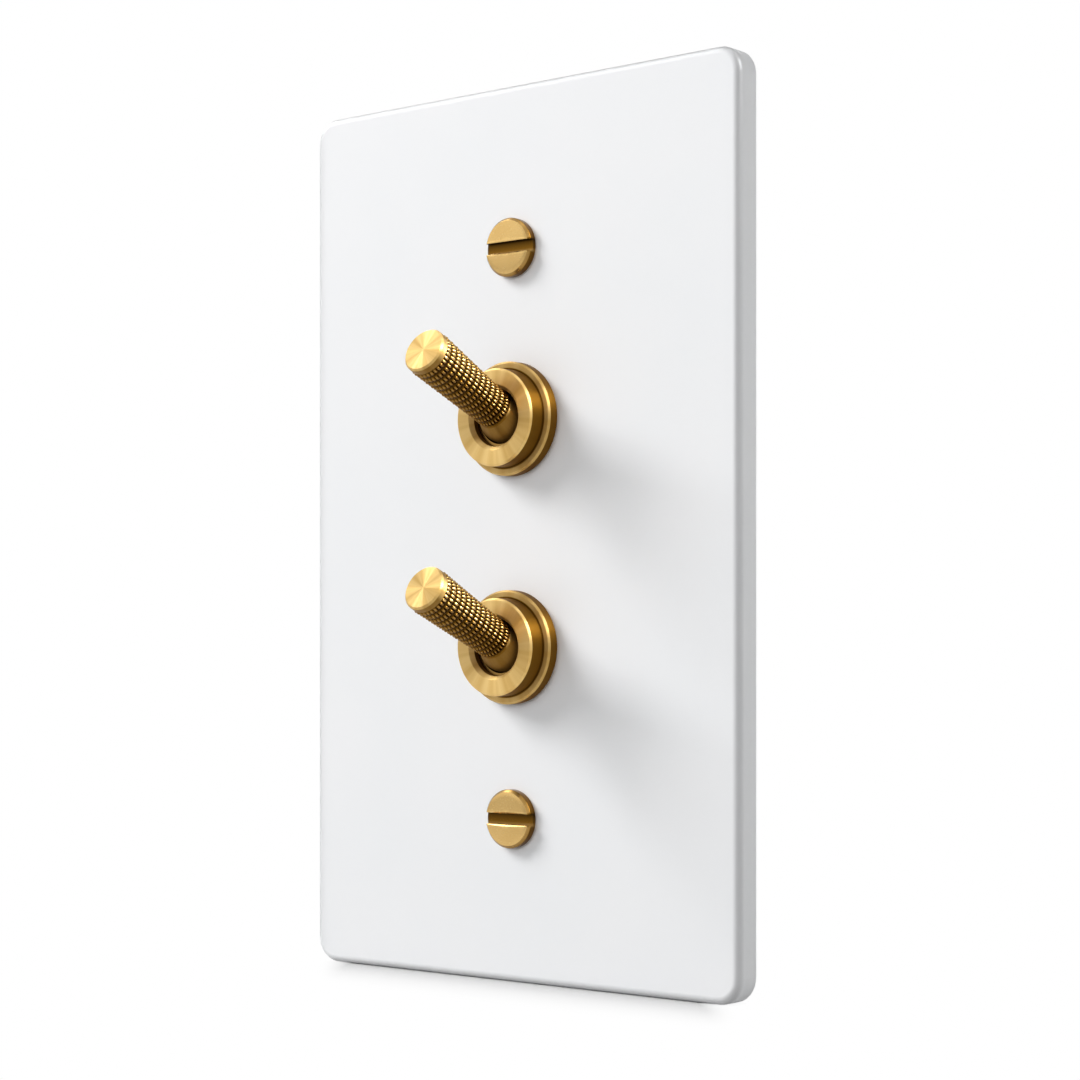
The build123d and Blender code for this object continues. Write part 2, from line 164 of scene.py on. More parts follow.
# Plunger spring, a coil in the lever's tail between the bore's bottom and the plunger's stem
spring_radius = 0.55
spring_wire_radius = 0.11
spring_turns = 4
spring_start = 3.51
spring_length = 4.08
spring_crease = radians(50)

# Screws
thread_depth = 0.3
thread_fade_rows = 0.7
screw_head_bevel = 0.35
screw_head_crown = 0.18
crown_rings = (0.85, 0.75, 0.65, 0.55, 0.45, 0.35, 0.25, 0.15)
screw_radius = 1.75
screw_point_length = 0.5
screw_point_taper = 0.45
screw_thread_start = 0.6
screw_thread_rows = 8
screw_facets = 96
screw_crease = radians(30)
slot_edge = 0.08
slot_flare = 1.0
slot_crown_share = 0.6
screw_slot_width = 1.45
screw_slot_depth = 0.9
lug_screw_head_height = 1.6
lug_screw_head_bevel = 0.25
lug_screw_radius = 1.5
lug_screw_length = 4.0
lug_screw_thread_rows = 5
lug_screw_slot_width = 0.8
lug_screw_slot_depth = 0.7
lug_spacing = 9.0
lug_half_thickness = 0.4

# Patina and painted shade on the brass, from 0 for bare through 0.5 for brown to 1 for nearly black
ball_patina_and_shade = 0.45
groove_patina_and_shade = 0.88
pad_patina_and_shade = 0.42
collar_side_patina_and_shade = 0.55
collar_corner_painted_shade = 0.85
collar_flange_painted_shade = 0.2
bushing_patina_and_shade = 0.4
shank_patina = 0.15
slot_painted_shade = 0.65
face_patina = 0.1
rim_patina_and_shade = 0.4


# Small helpers
def linear(hex_colour):
    # An sRGB hex colour as the linear values that Blender's sockets take
    channels = []
    for start in (1, 3, 5):
        value = int(hex_colour[start:start + 2], 16) / 255
        channels.append(value / 12.92 if value <= 0.04045 else ((value + 0.055) / 1.055) ** 2.4)
    return (*channels, 1.0)


def feed(tree, node, inputs):
    # An input that is another node's socket is linked, and any other value is set
    for key, value in inputs.items():
        if isinstance(value, bpy.types.NodeSocket):
            tree.links.new(value, node.inputs[key])
        else:
            node.inputs[key].default_value = value


def add(tree, kind, inputs=None, **settings):
    # Adds a node with its settings and inputs
    node = tree.nodes.new(kind)
    for key, value in settings.items():
        setattr(node, key, value)
    feed(tree, node, inputs or {})
    return node


def placed(name, data):
    # A new object at the origin, in the scene
    new_object = bpy.data.objects.new(name, data)
    bpy.context.scene.collection.objects.link(new_object)
    return new_object


def mesh_from(name, body):
    mesh = bpy.data.meshes.new(name)
    body.to_mesh(mesh)
    body.free()
    return mesh


def blend(value, start, end):
    # Rises smoothly from 0 at the start to 1 at the end
    share = min(max((value - start) / (end - start), 0), 1)
    return share * share * (3 - 2 * share)


# Materials; the finest marks on a surface are about this high
skin_relief = 0.02 * MM


def new_finish(name):
    material = bpy.data.materials.new(name)
    material.use_nodes = True
    tree = material.node_tree
    place = add(tree, "ShaderNodeTexCoord").outputs["Object"]
    return material, tree, tree.nodes["Principled BSDF"], place


def with_patina_and_shade(tree, tint):
    # Brown patina and painted shade over bare brass, by the piece's own layer: 0.5 is brown and 1 is nearly
    # black
    depth = add(tree, "ShaderNodeAttribute", attribute_name="patina_and_shade").outputs["Fac"]
    brown = add(tree, "ShaderNodeMapRange", {"Value": depth, "From Max": 0.5}).outputs["Result"]
    black = add(tree, "ShaderNodeMapRange", {"Value": depth, "From Min": 0.5}).outputs["Result"]
    aged = add(tree, "ShaderNodeMix", {"Factor": brown, "A": tint, "B": linear("#785318")}, data_type="RGBA")
    return add(tree, "ShaderNodeMix", {"Factor": black, "A": aged.outputs["Result"],
                                       "B": linear("#241503")}, data_type="RGBA").outputs["Result"]


def dress(tree, surface, tint, gloss, bump, more, takes_patina_and_shade=False):
    # Tint is a pattern and the two colours it shifts between, gloss is a pattern with the lowest and highest
    # roughness, and bump is a pattern with its strength; more holds other inputs, and what ages takes patina
    # and painted shade
    pattern, first, second = tint
    colour = add(tree, "ShaderNodeMix", {"Factor": pattern.outputs[0], "A": linear(first),
                                         "B": linear(second)}, data_type="RGBA").outputs["Result"]
    pattern, low, high = gloss
    dulled = add(tree, "ShaderNodeMapRange", {"Value": pattern.outputs[0], "To Min": low, "To Max": high})
    pattern, strength = bump
    relief = add(tree, "ShaderNodeBump", {"Height": pattern.outputs[0], "Strength": strength,
                                          "Distance": skin_relief})
    feed(tree, surface, {"Base Color": with_patina_and_shade(tree, colour) if takes_patina_and_shade else colour,
                         "Roughness": dulled.outputs["Result"], "Normal": relief.outputs["Normal"], **more})


def powder_coated_steel():
    # Sprayed and baked white coat: satin, with a faint orange peel of about half a millimetre
    material, tree, surface, place = new_finish("powder_coated_steel_satin_white")
    peel = add(tree, "ShaderNodeTexNoise", {"Vector": place, "Scale": 1 / (0.6 * MM), "Detail": 2.0})
    cloud = add(tree, "ShaderNodeTexNoise", {"Vector": place, "Scale": 1 / (18 * MM), "Detail": 3.0})
    dress(tree, surface, (cloud, "#EEF0F2", "#F3F3F4"), (cloud, 0.36, 0.46), (peel, 0.05), {})
    return material


def turned_brass():
    # Brass off the lathe, lightly dulled: soft gold highlights, brown patina in the grooves and painted shade
    # from the piece's layer
    material, tree, surface, place = new_finish("turned_brass_satin")
    cloud = add(tree, "ShaderNodeTexNoise", {"Vector": place, "Scale": 1 / (2.5 * MM), "Detail": 4.0})
    scuff = add(tree, "ShaderNodeTexNoise", {"Vector": place, "Scale": 1 / (0.25 * MM), "Detail": 3.0})
    dress(tree, surface, (cloud, "#EDC985", "#E0B973"), (scuff, 0.22, 0.3), (scuff, 0.03), {"Metallic": 1.0},
          takes_patina_and_shade=True)
    return material


def spun_brass():
    # Brass faced off with a fine feed: rings too fine to see, drawn a little coarser, fan each highlight out
    material, tree, surface, _ = new_finish("spun_brass_fine_rings")
    turning = add(tree, "ShaderNodeUVMap", uv_map="turning").outputs["UV"]
    round_and_along = add(tree, "ShaderNodeSeparateXYZ", {0: turning}).outputs
    angle = add(tree, "ShaderNodeMath", {0: round_and_along["X"], 1: 2 * pi}, operation="MULTIPLY").outputs[0]
    east = add(tree, "ShaderNodeMath", {0: angle}, operation="COSINE").outputs[0]
    north = add(tree, "ShaderNodeMath", {0: angle}, operation="SINE").outputs[0]
    spoke = add(tree, "ShaderNodeCombineXYZ", {"X": east, "Y": north}).outputs[0]
    fan = add(tree, "ShaderNodeTexNoise", {"Vector": spoke, "Scale": 3.0, "Detail": 4.0})
    ring = add(tree, "ShaderNodeTexNoise", {"W": round_and_along["Y"], "Scale": 1 / (0.12 * MM),
                                            "Detail": 2.0}, noise_dimensions="1D")
    shift = add(tree, "ShaderNodeMapRange", {"Value": fan.outputs[0], "From Min": 0.35, "From Max": 0.65})
    around = add(tree, "ShaderNodeTangent", direction_type="UV_MAP", uv_map="turning").outputs["Tangent"]
    dress(tree, surface, (shift, "#F1CF8A", "#DDB56B"), (fan, 0.40, 0.50), (ring, 0.12),
          {"Metallic": 1.0, "Tangent": around, "Anisotropic": 0.86, "Anisotropic Rotation": 0.25}, takes_patina_and_shade=True)
    return material


def rolled_metal(name, bright, deep, roughness, grain):
    # Strip or plate off the rolls: soft lengthwise streaks and a slightly cloudy shine
    material, tree, surface, place = new_finish(name)
    drawn_out = add(tree, "ShaderNodeMapping", {"Vector": place, "Scale": (1.0, 1.0, 0.06)})
    streak = add(tree, "ShaderNodeTexNoise", {"Vector": drawn_out.outputs["Vector"],
                                              "Scale": 1 / (grain * MM), "Detail": 3.0})
    cloud = add(tree, "ShaderNodeTexNoise", {"Vector": place, "Scale": 1 / (5 * MM), "Detail": 4.0})
    dress(tree, surface, (cloud, bright, deep), (streak, roughness - 0.08, roughness + 0.08), (streak, 0.12),
          {"Metallic": 1.0})
    return material


def moulded_plastic(name, light, dark, roughness, grit):
    # Pressed in a mould: an even colour with fine specks of filler and a matt skin
    material, tree, surface, place = new_finish(name)
    speck = add(tree, "ShaderNodeTexNoise", {"Vector": place, "Scale": 1 / (grit * MM), "Detail": 4.0})
    flow = add(tree, "ShaderNodeTexNoise", {"Vector": place, "Scale": 1 / (6 * MM), "Detail": 2.0})
    dress(tree, surface, (speck, light, dark), (flow, roughness - 0.06, roughness + 0.06), (speck, 0.15), {})
    return material


finishes = {
    "white_enamel": powder_coated_steel(),
    "brass": turned_brass(),
    "spun_brass": spun_brass(),
    "zinc_steel": rolled_metal("zinc_plated_steel", "#C9CBCE", "#AEB1B5", 0.34, 0.5),
    "spring_steel": rolled_metal("spring_steel_wire", "#9A9C9F", "#7F8184", 0.3, 0.3),
    "nylon": moulded_plastic("moulded_nylon_natural", "#EDE8DA", "#E2DBC8", 0.42, 0.4),
    "phenolic": moulded_plastic("pressed_phenolic_black", "#2A2623", "#1B1816", 0.4, 0.3),
    "copper": rolled_metal("rolled_copper_strip", "#C98A63", "#B5714B", 0.3, 0.4),
    "terminal_brass": rolled_metal("stamped_brass_strip", "#D9BC7E", "#C6A462", 0.32, 0.4),
}
slot_of = {row["node"]: row["material_slot"] for row in frame["record"]["subparts"]}
for name, node in frame["nodes"].items():
    for material_slot in node.material_slots:
        material_slot.material = finishes[slot_of[name]]


# Pieces made on the lathe
def rounded_profile(corners, steps=5):
    # Corners are (along, radius, round); a corner with a round becomes a short arc
    points = []
    count = len(corners)
    for index, (along, radius, round_size) in enumerate(corners):
        here = Vector((along, radius))
        back = Vector(corners[index - 1][:2]) - here
        ahead = Vector(corners[(index + 1) % count][:2]) - here
        if not round_size:
            points.append(here)
            continue
        half = back.angle(ahead) / 2
        reach = round_size / tan(half)
        centre = here + (back.normalized() + ahead.normalized()).normalized() * (round_size / sin(half))
        start = here + back.normalized() * reach - centre
        end = here + ahead.normalized() * reach - centre
        sweep = start.angle_signed(end)
        for step in range(steps + 1):
            turn = -sweep * step / steps
            points.append(centre + Vector((start.x * cos(turn) - start.y * sin(turn),
                                           start.x * sin(turn) + start.y * cos(turn))))
    return points


def turned_mesh(name, profiles, around, closed):
    # Spins each profile about local Z; U of the map runs round the axis and V along the profile
    body = bmesh.new()
    turning = body.loops.layers.uv.new("turning")
    for points in profiles:
        rings = []
        travel = [0.0]
        for previous, point in zip(points, points[1:]):
            travel.append(travel[-1] + (point - previous).length)
        for point in points:
            if point.y < same_point:
                rings.append([body.verts.new((0, 0, point.x * MM))] * around)
                continue
            ring = []
            for step in range(around):
                turn = 2 * pi * step / around
                ring.append(body.verts.new((point.y * cos(turn) * MM, point.y * sin(turn) * MM,
                                            point.x * MM)))
            rings.append(ring)
        spans = list(zip(rings, rings[1:], travel, travel[1:]))
        if closed:
            spans.append((rings[-1], rings[0], travel[-1], travel[-1] + (points[0] - points[-1]).length))
        for low, high, low_travel, high_travel in spans:
            for step in range(around):
                after = (step + 1) % around
                corners = [(low[step], step, low_travel), (low[after], step + 1, low_travel),
                           (high[after], step + 1, high_travel), (high[step], step, high_travel)]
                if low[step] is low[after]:
                    corners = [(low[step], step + 0.5, low_travel), corners[2], corners[3]]
                elif high[step] is high[after]:
                    corners = [corners[0], corners[1], (high[step], step + 0.5, high_travel)]
                face = body.faces.new([corner[0] for corner in corners])
                for loop, corner in zip(face.loops, corners):
                    loop[turning].uv = (corner[1] / around, corner[2] * MM)
    return mesh_from(name, body)


def bar(name, outline, reach):
    # A straight bar along X with this outline in Y and Z, for cutting a slot or a hole
    body = bmesh.new()
    ends = []
    for x in (-reach, reach):
        ends.append([body.verts.new((x * MM, y * MM, z * MM)) for y, z in outline])
    count = len(outline)
    body.faces.new(ends[0][::-1])
    body.faces.new(ends[1])
    for step in range(count):
        after = (step + 1) % count
        body.faces.new((ends[0][step], ends[0][after], ends[1][after], ends[1][step]))
    return placed(name, mesh_from(name, body))


def cut_by(cutter):
    return ("BOOLEAN", {"object": cutter, "solver": "EXACT"})


def broken_edges(width):
    # Takes the sharpness off every edge of a piece
    return ("BEVEL", {"width": width * MM, "segments": 2, "limit_method": "ANGLE",
                      "angle_limit": edge_angle})


# Shades a flat face flat up to its broken edges
even_shading = ("WEIGHTED_NORMAL", {"keep_sharp": True})


def made(name, mesh, *steps):
    # Puts a mesh through modifiers one after the other and keeps the result as a plain mesh
    mesh.shade_smooth()
    helper = placed(f"{name}_helper", mesh)
    for kind, settings in steps:
        modifier = helper.modifiers.new(kind.lower(), kind)
        if kind == "NODES":
            modifier.node_group = settings["tree"]
            for item in settings["tree"].interface.items_tree:
                if item.in_out == "INPUT" and item.name in settings:
                    modifier[item.identifier] = settings[item.name]
        else:
            for key, value in settings.items():
                setattr(modifier, key, value)
    graph = bpy.context.evaluated_depsgraph_get()
    result = bpy.data.meshes.new_from_object(helper.evaluated_get(graph))
    result.name = name
    bpy.data.objects.remove(helper)
    return result


def lay_patina_and_shade(mesh, depth_at):
    # Stores how deep the patina and painted shade lie at each point of a brass piece, from its place and the
    # way it faces
    layer = mesh.attributes.new("patina_and_shade", "FLOAT", "POINT")
    layer.data.foreach_set("value", [depth_at(vertex.co / MM, vertex.normal) for vertex in mesh.vertices])


def new_piece(name, mesh, body, slot, *nodes):
    piece = placed(name, mesh)
    if not mesh.materials:
        mesh.materials.append(finishes[slot])
    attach(piece, body)
    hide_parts(*nodes)
    return piece


def new_tool(name, sockets):
    # A Geometry Nodes tree that takes a mesh and these named inputs
    tree = bpy.data.node_groups.new(name, "GeometryNodeTree")
    for flow in ("INPUT", "OUTPUT"):
        tree.interface.new_socket("Geometry", in_out=flow, socket_type="NodeSocketGeometry")
    for kind, names in sockets.items():
        for socket_name in names:
            tree.interface.new_socket(socket_name, in_out="INPUT", socket_type=f"NodeSocket{kind}")
    return tree, add(tree, "NodeGroupInput").outputs


# Lays a grid round a cone as raised pads or as a thread, and joins it to the turned piece at both ends
def rolled_sleeve_tree():
    tree, source = new_tool("rolled_sleeve", {
        "Float": ("Start", "End", "Start Radius", "End Radius", "Lead", "Depth", "Sink", "Fade Rows",
                  "Pad Power", "Row Power"),
        "Int": ("Around", "Steps Around", "Rows", "Steps Per Row"),
        "Material": ("Turned Finish", "Rolled Finish")})
    grid = add(tree, "GeometryNodeMeshGrid", {"Size X": 1.0, "Size Y": 1.0})
    spot = add(tree, "ShaderNodeSeparateXYZ", {0: add(tree, "GeometryNodeInputPosition").outputs[0]}).outputs
    values = {"x": spot["X"], "y": spot["Y"], **{socket.name: socket for socket in source}}
    for result, operation, *terms in (
            ("columns", "ADD", "Steps Around", 1.0),
            ("lines", "MULTIPLY_ADD", "Rows", "Steps Per Row", 1.0),
            ("across", "ADD", "x", 0.5),
            ("along", "ADD", "y", 0.5),
            ("row number", "MULTIPLY", "along", "Rows"),
            ("lead", "MULTIPLY", "across", "Lead"),
            ("row phase", "SUBTRACT", "row number", "lead"),
            ("row angle", "MULTIPLY", "row phase", pi),
            ("row wave", "SINE", "row angle"),
            ("row swell", "ABSOLUTE", "row wave"),
            ("row rise", "POWER", "row swell", "Row Power"),
            ("pad number", "MULTIPLY", "across", "Around"),
            ("pad angle", "MULTIPLY", "pad number", pi),
            ("pad wave", "COSINE", "pad angle"),
            ("pad swell", "ABSOLUTE", "pad wave"),
            ("pad rise", "POWER", "pad swell", "Pad Power"),
            ("rise", "MULTIPLY", "row rise", "pad rise"),
            ("along back", "SUBTRACT", 1.0, "along"),
            ("to end", "MINIMUM", "along", "along back"),
            ("rows to end", "MULTIPLY", "to end", "Rows"),
            ("fade length", "MAXIMUM", "Fade Rows", 0.0001),
            ("fade share", "DIVIDE", "rows to end", "fade length"),
            ("fade", "MINIMUM", "fade share", 1.0),
            ("height", "MULTIPLY", "rise", "Depth"),
            ("relief", "SUBTRACT", "height", "Sink"),
            ("taper", "SUBTRACT", "End Radius", "Start Radius"),
            ("cone", "MULTIPLY_ADD", "along", "taper", "Start Radius"),
            ("radius", "MULTIPLY_ADD", "relief", "fade", "cone"),
            ("turn", "MULTIPLY", "across", 2 * pi),
            ("cosine", "COSINE", "turn"),
            ("sine", "SINE", "turn"),
            ("point x", "MULTIPLY", "radius", "cosine"),
            ("point y", "MULTIPLY", "radius", "sine"),
            ("length", "SUBTRACT", "End", "Start"),
            ("point z", "MULTIPLY_ADD", "along", "length", "Start")):
        inputs = {index: values.get(term, term) for index, term in enumerate(terms)}
        values[result] = add(tree, "ShaderNodeMath", inputs, operation=operation).outputs[0]
    feed(tree, grid, {"Vertices X": values["columns"], "Vertices Y": values["lines"]})
    point = add(tree, "ShaderNodeCombineXYZ", {"X": values["point x"], "Y": values["point y"],
                                               "Z": values["point z"]}).outputs[0]
    flat = add(tree, "ShaderNodeCombineXYZ", {"X": values["across"], "Y": values["point z"]}).outputs[0]
    sleeve = grid.outputs["Mesh"]
    for label, value, kind, domain in (("rolled", True, "BOOLEAN", "FACE"),
                                       ("turning", flat, "FLOAT2", "CORNER")):
        sleeve = add(tree, "GeometryNodeStoreNamedAttribute",
                     {"Geometry": sleeve, "Name": label, "Value": value},
                     data_type=kind, domain=domain).outputs[0]
    sleeve = add(tree, "GeometryNodeSetPosition", {"Geometry": sleeve, "Position": point}).outputs[0]
    joined = add(tree, "GeometryNodeJoinGeometry")
    tree.links.new(source["Geometry"], joined.inputs[0])
    tree.links.new(sleeve, joined.inputs[0])
    closed = add(tree, "GeometryNodeMergeByDistance", {"Geometry": joined.outputs[0],
                                                       "Distance": sleeve_joint * MM})
    real = add(tree, "GeometryNodeRealizeInstances", {"Geometry": closed.outputs[0]})
    turned = add(tree, "GeometryNodeSetMaterial", {"Geometry": real.outputs[0],
                                                   "Material": source["Turned Finish"]})
    rolled = add(tree, "GeometryNodeInputNamedAttribute", {"Name": "rolled"}, data_type="BOOLEAN")
    painted = add(tree, "GeometryNodeSetMaterial", {"Geometry": turned.outputs[0],
                                                    "Selection": rolled.outputs["Attribute"],
                                                    "Material": source["Rolled Finish"]})
    add(tree, "NodeGroupOutput", {"Geometry": painted.outputs[0]})
    return tree


# Sets copies of one screw along a line
def screw_row_tree():
    tree, source = new_tool("screw_row", {"Int": ("Count",), "Vector": ("First", "Step"),
                                          "Rotation": ("Turn",), "Material": ("Finish",)})
    line = add(tree, "GeometryNodeMeshLine", {"Count": source["Count"], "Start Location": source["First"],
                                              "Offset": source["Step"]})
    screws = add(tree, "GeometryNodeInstanceOnPoints", {"Points": line.outputs[0],
                                                        "Instance": source["Geometry"],
                                                        "Rotation": source["Turn"]})
    real = add(tree, "GeometryNodeRealizeInstances", {"Geometry": screws.outputs[0]})
    painted = add(tree, "GeometryNodeSetMaterial", {"Geometry": real.outputs[0],
                                                    "Material": source["Finish"]})
    add(tree, "NodeGroupOutput", {"Geometry": painted.outputs[0]})
    return tree


rolled_sleeve = rolled_sleeve_tree()
screw_row = screw_row_tree()


def thread(start, end, radius, steps_around, rows, finish):
    # A rolled thread between two places on a turned piece
    return ("NODES", {"tree": rolled_sleeve, "Start": start * MM, "End": end * MM,
                      "Start Radius": radius * MM, "End Radius": radius * MM, "Around": 0,
                      "Steps Around": steps_around, "Rows": rows, "Steps Per Row": steps_per_row,
                      "Lead": 1.0, "Depth": thread_depth * MM, "Sink": thread_depth * MM,
                      "Fade Rows": thread_fade_rows, "Pad Power": 1.0, "Row Power": 1.0,
                      "Turned Finish": finish, "Rolled Finish": finish})


def into_room(height):
    # From a turned piece's own axis to the plate's normal at this height
    return Matrix.Translation((0, 0, height * MM)) @ Matrix.Rotation(pi / 2, 4, "X")


# Levers: ball, tail and cap off the lathe, with a grip of raised pads rolled on between them
def lever_radius(along):
    share = along / (lever_length - lever_band)
    return lever_root_radius + (lever_tip_radius - lever_root_radius) * share


def lever_place(side):
    # From the lever's own axis to its pivot and lean at rest
    pivot = Matrix.Translation(Vector((0, -lever_pivot, toggle_heights[side])) * MM)
    return pivot @ Matrix.Rotation(pi / 2 - lever_angle, 4, "X")


def lever_piece(side):
    grip_end = lever_length - lever_band
    grip_root = lever_radius(grip_start) - grip_undercut
    steps_around = grip_around * steps_per_pad
    tail_meets = -(lever_ball_radius ** 2 - lever_tail_radius ** 2) ** 0.5
    root = [Vector((-lever_bore_bottom, 0)), Vector((-lever_bore_bottom, lever_bore_radius)),
            Vector((-lever_tail_length, lever_bore_radius)), Vector((-lever_tail_length, lever_tail_radius)),
            Vector((tail_meets, lever_tail_radius))]
    for step in range(lever_ball_steps):
        turn = radians(lever_ball_first - step * lever_ball_turn)
        on_ball = Vector((lever_ball_radius * cos(turn), lever_ball_radius * sin(turn)))
        if on_ball.x > tail_meets and on_ball.y > lever_radius(max(on_ball.x, 0)) + hair:
            root.append(on_ball)
    root.append(Vector((grip_start, grip_root)))
    tip = [Vector((grip_end, lever_tip_radius))]
    tip += rounded_profile([(grip_end, lever_tip_radius, 0),
                            (lever_length - lever_cap_bevel, lever_tip_radius, soft_round),
                            (lever_length, lever_tip_radius - lever_cap_bevel, crisp_round),
                            (lever_length, 0, 0)])[1:-1]
    tip += [Vector((lever_length, radius)) for radius in lever_cap_rings]
    blank = turned_mesh(f"{side}_lever_blank", [root, tip], steps_around, False)
    grip = ("NODES", {"tree": rolled_sleeve, "Start": grip_start * MM, "End": grip_end * MM,
                      "Start Radius": grip_root * MM, "End Radius": lever_tip_radius * MM,
                      "Around": grip_around, "Steps Around": steps_around, "Rows": grip_rows,
                      "Steps Per Row": steps_per_row, "Lead": 0.0, "Depth": grip_depth * MM,
                      "Sink": grip_sink * MM, "Fade Rows": 0.0, "Pad Power": 1.2, "Row Power": 1.35,
                      "Turned Finish": finishes["spun_brass"], "Rolled Finish": finishes["brass"]})
    pin_turns = [2 * pi * step / pin_hole_steps for step in range(pin_hole_steps)]
    cutter = bar("pin_hole", [(lever_pin_hole * cos(turn), lever_pin_hole * sin(turn)) for turn in pin_turns],
                 lever_ball_radius + pin_hole_overshoot)
    mesh = made(f"{side}_knurled_lever", blank, grip, cut_by(cutter), even_shading)
    bpy.data.objects.remove(cutter)

    def depth_at(point, facing):
        # Painted shade with some patina: the grip's underside and top, the band's underside and the ball in
        # the mouth are brown, and the grooves near black; the pads along both flanks stay bare
        radius = point.to_2d().length
        lift = point.y / max(radius, 0.1)
        off_underside = blend(lift, -0.55, -0.2)
        on_top = blend(lift, 0.4, 0.65)
        bare_flank = off_underside * (1 - 0.8 * on_top)
        if point.z < grip_start - hair:
            return ball_patina_and_shade
        if point.z > grip_end + hair:
            return (ball_patina_and_shade - 0.35 * bare_flank) * (1 - max(facing.z, 0))
        rise = (radius - lever_radius(point.z) + grip_sink) / grip_depth
        groove = groove_patina_and_shade + 0.07 * bare_flank
        pad = pad_patina_and_shade - pad_patina_and_shade * bare_flank
        return groove + (pad - groove) * blend(rise, 0.1, 0.5)

    lay_patina_and_shade(mesh, depth_at)
    mesh.transform(lever_place(side))
    new_piece(f"{side}_knurled_lever", mesh, f"{side}_lever_body", "brass", f"{side}_lever")


# Plunger springs: a coil of round wire in the lever's tail, carried with the lever
def spring_piece(side):
    steps_per_turn, wire_steps = 24, 10
    body = bmesh.new()
    rings = []
    for step in range(spring_turns * steps_per_turn + 1):
        turn = 2 * pi * step / steps_per_turn
        share = step / (spring_turns * steps_per_turn)
        outward = Vector((cos(turn), sin(turn), 0))
        rise = -spring_length / (2 * pi * spring_turns * spring_radius)
        sideways = Vector((-sin(turn), cos(turn), rise)).cross(outward).normalized()
        centre = outward * spring_radius - Vector((0, 0, spring_start + spring_length * share))
        ring = []
        for wire_step in range(wire_steps):
            spin = 2 * pi * wire_step / wire_steps
            ring.append(body.verts.new((centre + (outward * cos(spin) + sideways * sin(spin))
                                        * spring_wire_radius) * MM))
        rings.append(ring)
    for ring, next_ring in zip(rings, rings[1:]):
        for wire_step in range(wire_steps):
            after = (wire_step + 1) % wire_steps
            body.faces.new((ring[wire_step], ring[after], next_ring[after], next_ring[wire_step]))
    body.faces.new(rings[0])
    body.faces.new(rings[-1])
    bmesh.ops.recalc_face_normals(body, faces=body.faces)
    mesh = mesh_from(f"{side}_coiled_spring", body)
    mesh.shade_smooth()
    mesh.set_sharp_from_angle(angle=spring_crease)
    place = lever_place(side)
    mesh.transform(place)
    spring = new_piece(f"{side}_coiled_spring", mesh, f"{side}_lever_body", "spring_steel",
                       f"{side}_plunger_spring")
    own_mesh(spring)


# Collars: a flange, a stepped ring and a chamfered mouth, each edge just broken
def collar_piece(side):
    profile = rounded_profile([
        (plate_front, collar_thread_bore, 0),
        (plate_front, collar_radius, foot_round),
        (collar_shoulder - collar_bevel, collar_radius, soft_round),
        (collar_shoulder, collar_radius - collar_bevel, soft_round),
        (collar_shoulder, collar_ring_radius + collar_corner_shade_reach, 0),
        (collar_shoulder, collar_ring_radius, crisp_round),
        (collar_shoulder + collar_corner_shade_reach, collar_ring_radius, 0),
        (collar_front - collar_bevel, collar_ring_radius, soft_round),
        (collar_front, collar_ring_radius - collar_bevel, soft_round),
        (collar_front, collar_lip_bore + collar_mouth, crisp_round),
        (collar_front - collar_mouth, collar_lip_bore, crisp_round),
        (collar_front - collar_mouth - collar_lip, collar_lip_bore, inner_round),
        (collar_front - collar_mouth - collar_lip, collar_thread_bore, 0),
    ])
    blank = turned_mesh(f"{side}_collar_blank", [profile], collar_facets, True)
    blank.materials.append(finishes["spun_brass"])
    mesh = made(f"{side}_turned_collar", blank, even_shading)

    def depth_at(point, facing):
        # Bare on the ring's face; painted shade dulls the flange and darkens the corner, and the sides are
        # brown with patina and painted shade
        radius = point.to_2d().length
        into_corner = Vector((point.z - collar_shoulder, radius - collar_ring_radius)).length
        corner = collar_corner_painted_shade * (1 - blend(into_corner, collar_corner_shade_core, collar_corner_shade_reach))
        flange = collar_flange_painted_shade if radius > collar_ring_radius + soft_round else 0.0
        return max(collar_side_patina_and_shade * blend(facing.z, 0.65, 0.1), corner, flange)

    lay_patina_and_shade(mesh, depth_at)
    mesh.transform(into_room(toggle_heights[side]))
    new_piece(f"{side}_turned_collar", mesh, "base", "brass", f"{side}_collar")


